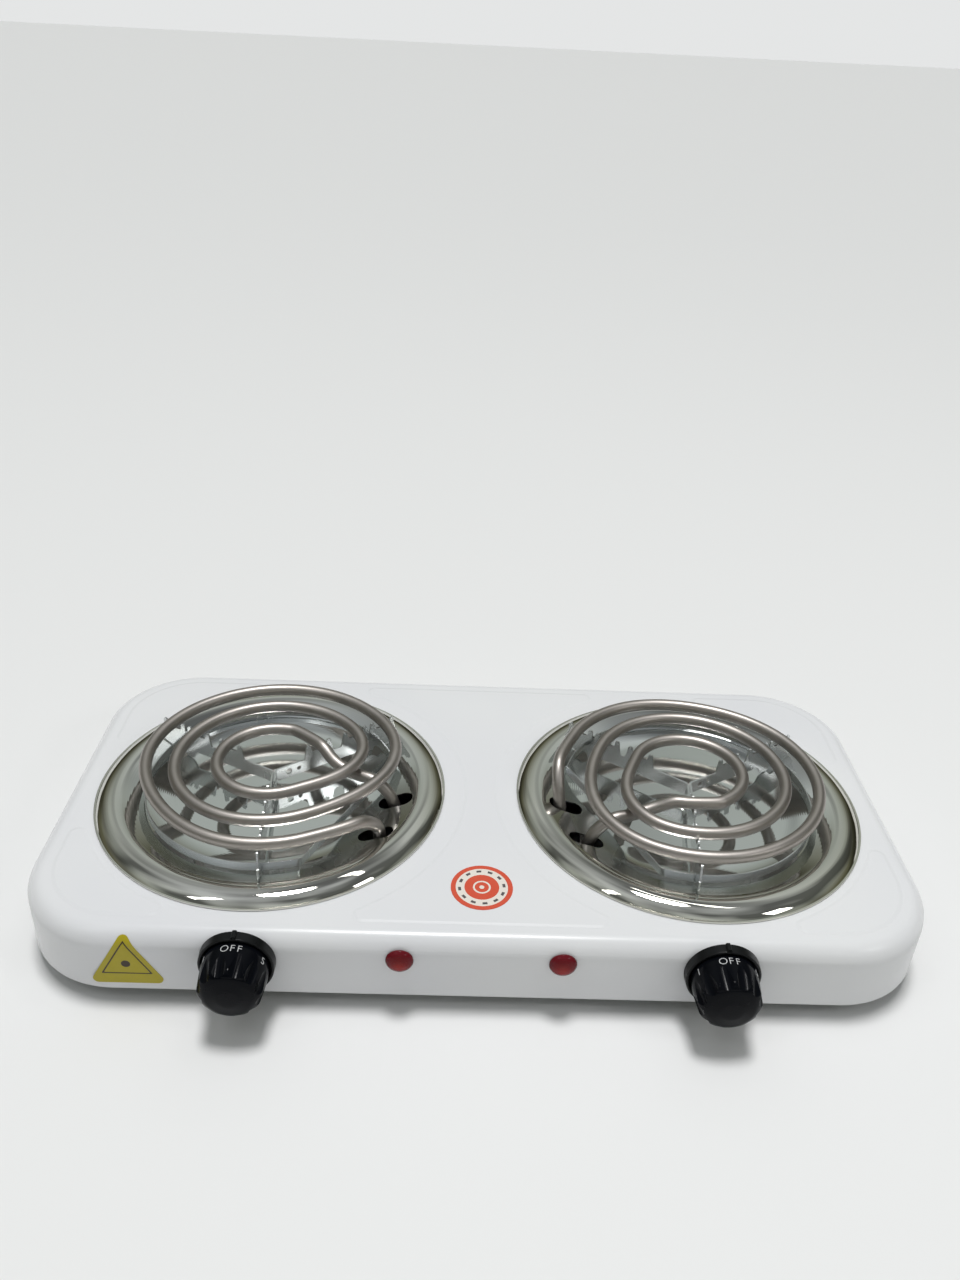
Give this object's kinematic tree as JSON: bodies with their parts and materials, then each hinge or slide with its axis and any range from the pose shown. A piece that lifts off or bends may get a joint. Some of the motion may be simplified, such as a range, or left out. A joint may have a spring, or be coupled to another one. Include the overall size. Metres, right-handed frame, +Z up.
{
  "type": "hot plate burner",
  "caption": "Countertop electric hot plate with tubular heating coils over polished drip pans, thermostat knobs and pilot lamps in a white pressed-steel housing.",
  "frame": {"origin": "on the table under the middle of the overall box", "axes": "+X to the right along the long side, +Y to the rear, +Z up; the knobs face -Y"},
  "size_m": [0.439, 0.2496, 0.0642],
  "materials": {
    "housing_enamel": "glossy white powder coat",
    "pan_chrome": "mirror-polished plated steel",
    "coil_sheath": "satin warm-grey stainless sheath, slightly heat-tinted",
    "support_zinc": "bright zinc-plated strip",
    "screw_bright": "bright plated screw",
    "hardware_zinc": "zinc plate",
    "bottom_zinc": "galvanised sheet",
    "knob_black": "glossy black phenolic",
    "lens_red": "translucent red lens",
    "foot_rubber": "black rubber",
    "lamp_glass": "clear glass",
    "ceramic": "unglazed ceramic",
    "thermostat_body": "brown moulded phenolic",
    "wire_sleeve": "glass-fibre sleeve",
    "label_red": "printed film",
    "label_yellow": "printed film"
  },
  "bodies": {
    "base": {"housing": "housing_enamel", "bottom_plate": "bottom_zinc", "foot_front_left": "foot_rubber", "foot_screw_front_left": "hardware_zinc", "plate_screw_front_left": "hardware_zinc", "foot_front_right": "foot_rubber", "foot_screw_front_right": "hardware_zinc", "plate_screw_front_right": "hardware_zinc", "foot_rear_left": "foot_rubber", "foot_screw_rear_left": "hardware_zinc", "plate_screw_rear_left": "hardware_zinc", "foot_rear_right": "foot_rubber", "foot_screw_rear_right": "hardware_zinc", "plate_screw_rear_right": "hardware_zinc", "drip_pan_left": "pan_chrome", "heating_coil_left": "coil_sheath", "support_strip_left": "support_zinc", "support_leg_left": "support_zinc", "support_hoop_left": "support_zinc", "pan_screw_left": "screw_bright", "pan_clamp_bar_left": "hardware_zinc", "terminal_bead_left_outer": "ceramic", "terminal_bead_left_inner": "ceramic", "knob_bezel_left": "knob_black", "thermostat_left": "thermostat_body", "thermostat_screw_left_left": "hardware_zinc", "thermostat_screw_left_right": "hardware_zinc", "lamp_lens_left": "lens_red", "neon_lamp_left": "lamp_glass", "wire_switched_left": "wire_sleeve", "wire_feed_left": "wire_sleeve", "wire_neutral_left": "wire_sleeve", "drip_pan_right": "pan_chrome", "heating_coil_right": "coil_sheath", "support_strip_right": "support_zinc", "support_leg_right": "support_zinc", "support_hoop_right": "support_zinc", "pan_screw_right": "screw_bright", "pan_clamp_bar_right": "hardware_zinc", "terminal_bead_right_outer": "ceramic", "terminal_bead_right_inner": "ceramic", "knob_bezel_right": "knob_black", "thermostat_right": "thermostat_body", "thermostat_screw_right_left": "hardware_zinc", "thermostat_screw_right_right": "hardware_zinc", "lamp_lens_right": "lens_red", "neon_lamp_right": "lamp_glass", "wire_switched_right": "wire_sleeve", "wire_feed_right": "wire_sleeve", "wire_neutral_right": "wire_sleeve", "cable_gland": "foot_rubber", "terminal_block": "ceramic", "terminal_block_screw": "hardware_zinc", "top_label": "label_red", "front_label": "label_yellow"},
    "knob_left": {"knob_left": "knob_black", "thermostat_shaft_left": "hardware_zinc"},
    "knob_right": {"knob_right": "knob_black", "thermostat_shaft_right": "hardware_zinc"}
  },
  "joints": [
    {"name": "knob_left_turn", "type": "hinge", "parent": "base", "child": "knob_left", "pos_m": [-0.1107, -0.1008, 0.0293], "axis": [0, 1, 0], "range_deg": [0, 300]},
    {"name": "knob_right_turn", "type": "hinge", "parent": "base", "child": "knob_right", "pos_m": [0.1107, -0.1008, 0.0293], "axis": [0, 1, 0], "range_deg": [0, 300]}
  ]
}
